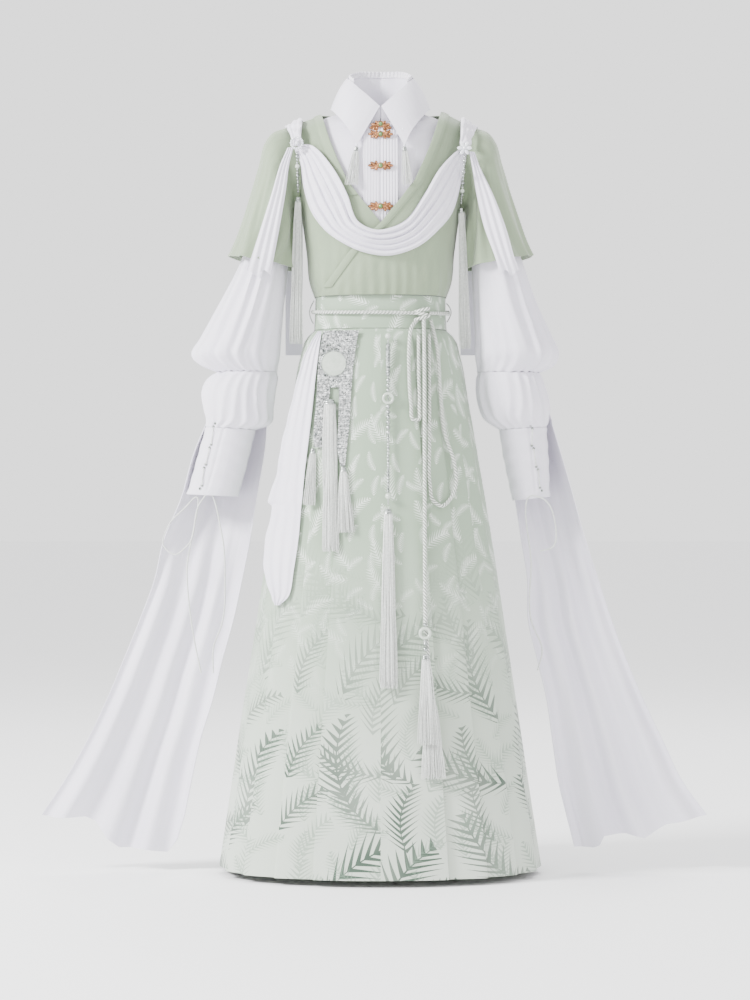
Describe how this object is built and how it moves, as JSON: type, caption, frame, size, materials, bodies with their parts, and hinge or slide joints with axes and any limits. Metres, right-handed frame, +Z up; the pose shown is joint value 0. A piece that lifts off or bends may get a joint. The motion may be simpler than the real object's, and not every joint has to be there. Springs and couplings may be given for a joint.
{
  "type": "hanfu robe",
  "caption": "Layered hanfu outfit, filled out and hollow: collared blouse with trailing sleeves, crossed robe top, shoulder drape, pleated skirt, belt cord and ornaments.",
  "frame": {"origin": "middle of the neck base between the shoulders, where a wearer or a stand holds the outfit up", "axes": "+Z up along the body, the front faces -Y, +X to the picture's right"},
  "size_m": [1.1462, 0.4364, 1.366],
  "materials": {
    "white_chiffon": "soft sheer weave",
    "sage_chiffon": "soft sheer weave",
    "sage_brocade": "satin weave",
    "white_cord": "silky cord and thread",
    "gold": "polished",
    "silver": "bright",
    "pale_jade": "polished stone"
  },
  "bodies": {
    "root": {"blouse_front_left": "white_chiffon", "blouse_front_right": "white_chiffon", "blouse_back": "white_chiffon", "blouse_placket": "white_chiffon", "collar_stand": "white_chiffon", "collar_fall": "white_chiffon", "sleeve_upper_left": "white_chiffon", "sleeve_upper_right": "white_chiffon", "sleeve_puff_left": "white_chiffon", "sleeve_puff_right": "white_chiffon", "cuff_left": "white_chiffon", "cuff_right": "white_chiffon", "trailing_sleeve_left": "white_chiffon", "trailing_sleeve_right": "white_chiffon", "chest_drape": "white_chiffon", "arm_tail_left": "white_chiffon", "arm_tail_right": "white_chiffon", "shoulder_band_left": "white_chiffon", "shoulder_band_right": "white_chiffon", "side_streamer": "white_chiffon", "robe_front_under": "sage_chiffon", "robe_front_over": "sage_chiffon", "robe_back": "sage_chiffon", "neck_band_under": "sage_chiffon", "neck_band_over": "sage_chiffon", "cap_sleeve_left": "sage_chiffon", "cap_sleeve_right": "sage_chiffon", "waistband": "sage_brocade", "skirt": "sage_brocade", "belt_cord": "white_cord", "belt_bow_left": "white_cord", "belt_bow_right": "white_cord", "belt_end_long": "white_cord", "belt_end_short": "white_cord", "belt_loop_left": "white_cord", "belt_loop_right": "white_cord", "cuff_lace_left": "white_cord", "cuff_lace_right": "white_cord", "collar_tassel_left": "white_cord", "collar_tassel_right": "white_cord", "shoulder_tassel_left": "white_cord", "shoulder_tassel_right": "white_cord", "panel_tassel_left": "white_cord", "panel_tassel_middle": "white_cord", "panel_tassel_right": "white_cord", "centre_tassel": "white_cord", "belt_tassel_short": "white_cord", "belt_tassel_long": "white_cord", "clasp_1": "gold", "clasp_2": "gold", "clasp_3": "gold", "clasp_4": "gold", "shoulder_ring_left": "silver", "shoulder_ring_right": "silver", "sequin_panel": "silver", "shoulder_chain_left": "silver", "shoulder_chain_right": "silver", "centre_chain": "silver", "jade_disc": "pale_jade", "belt_jade": "pale_jade"}
  },
  "joints": []
}
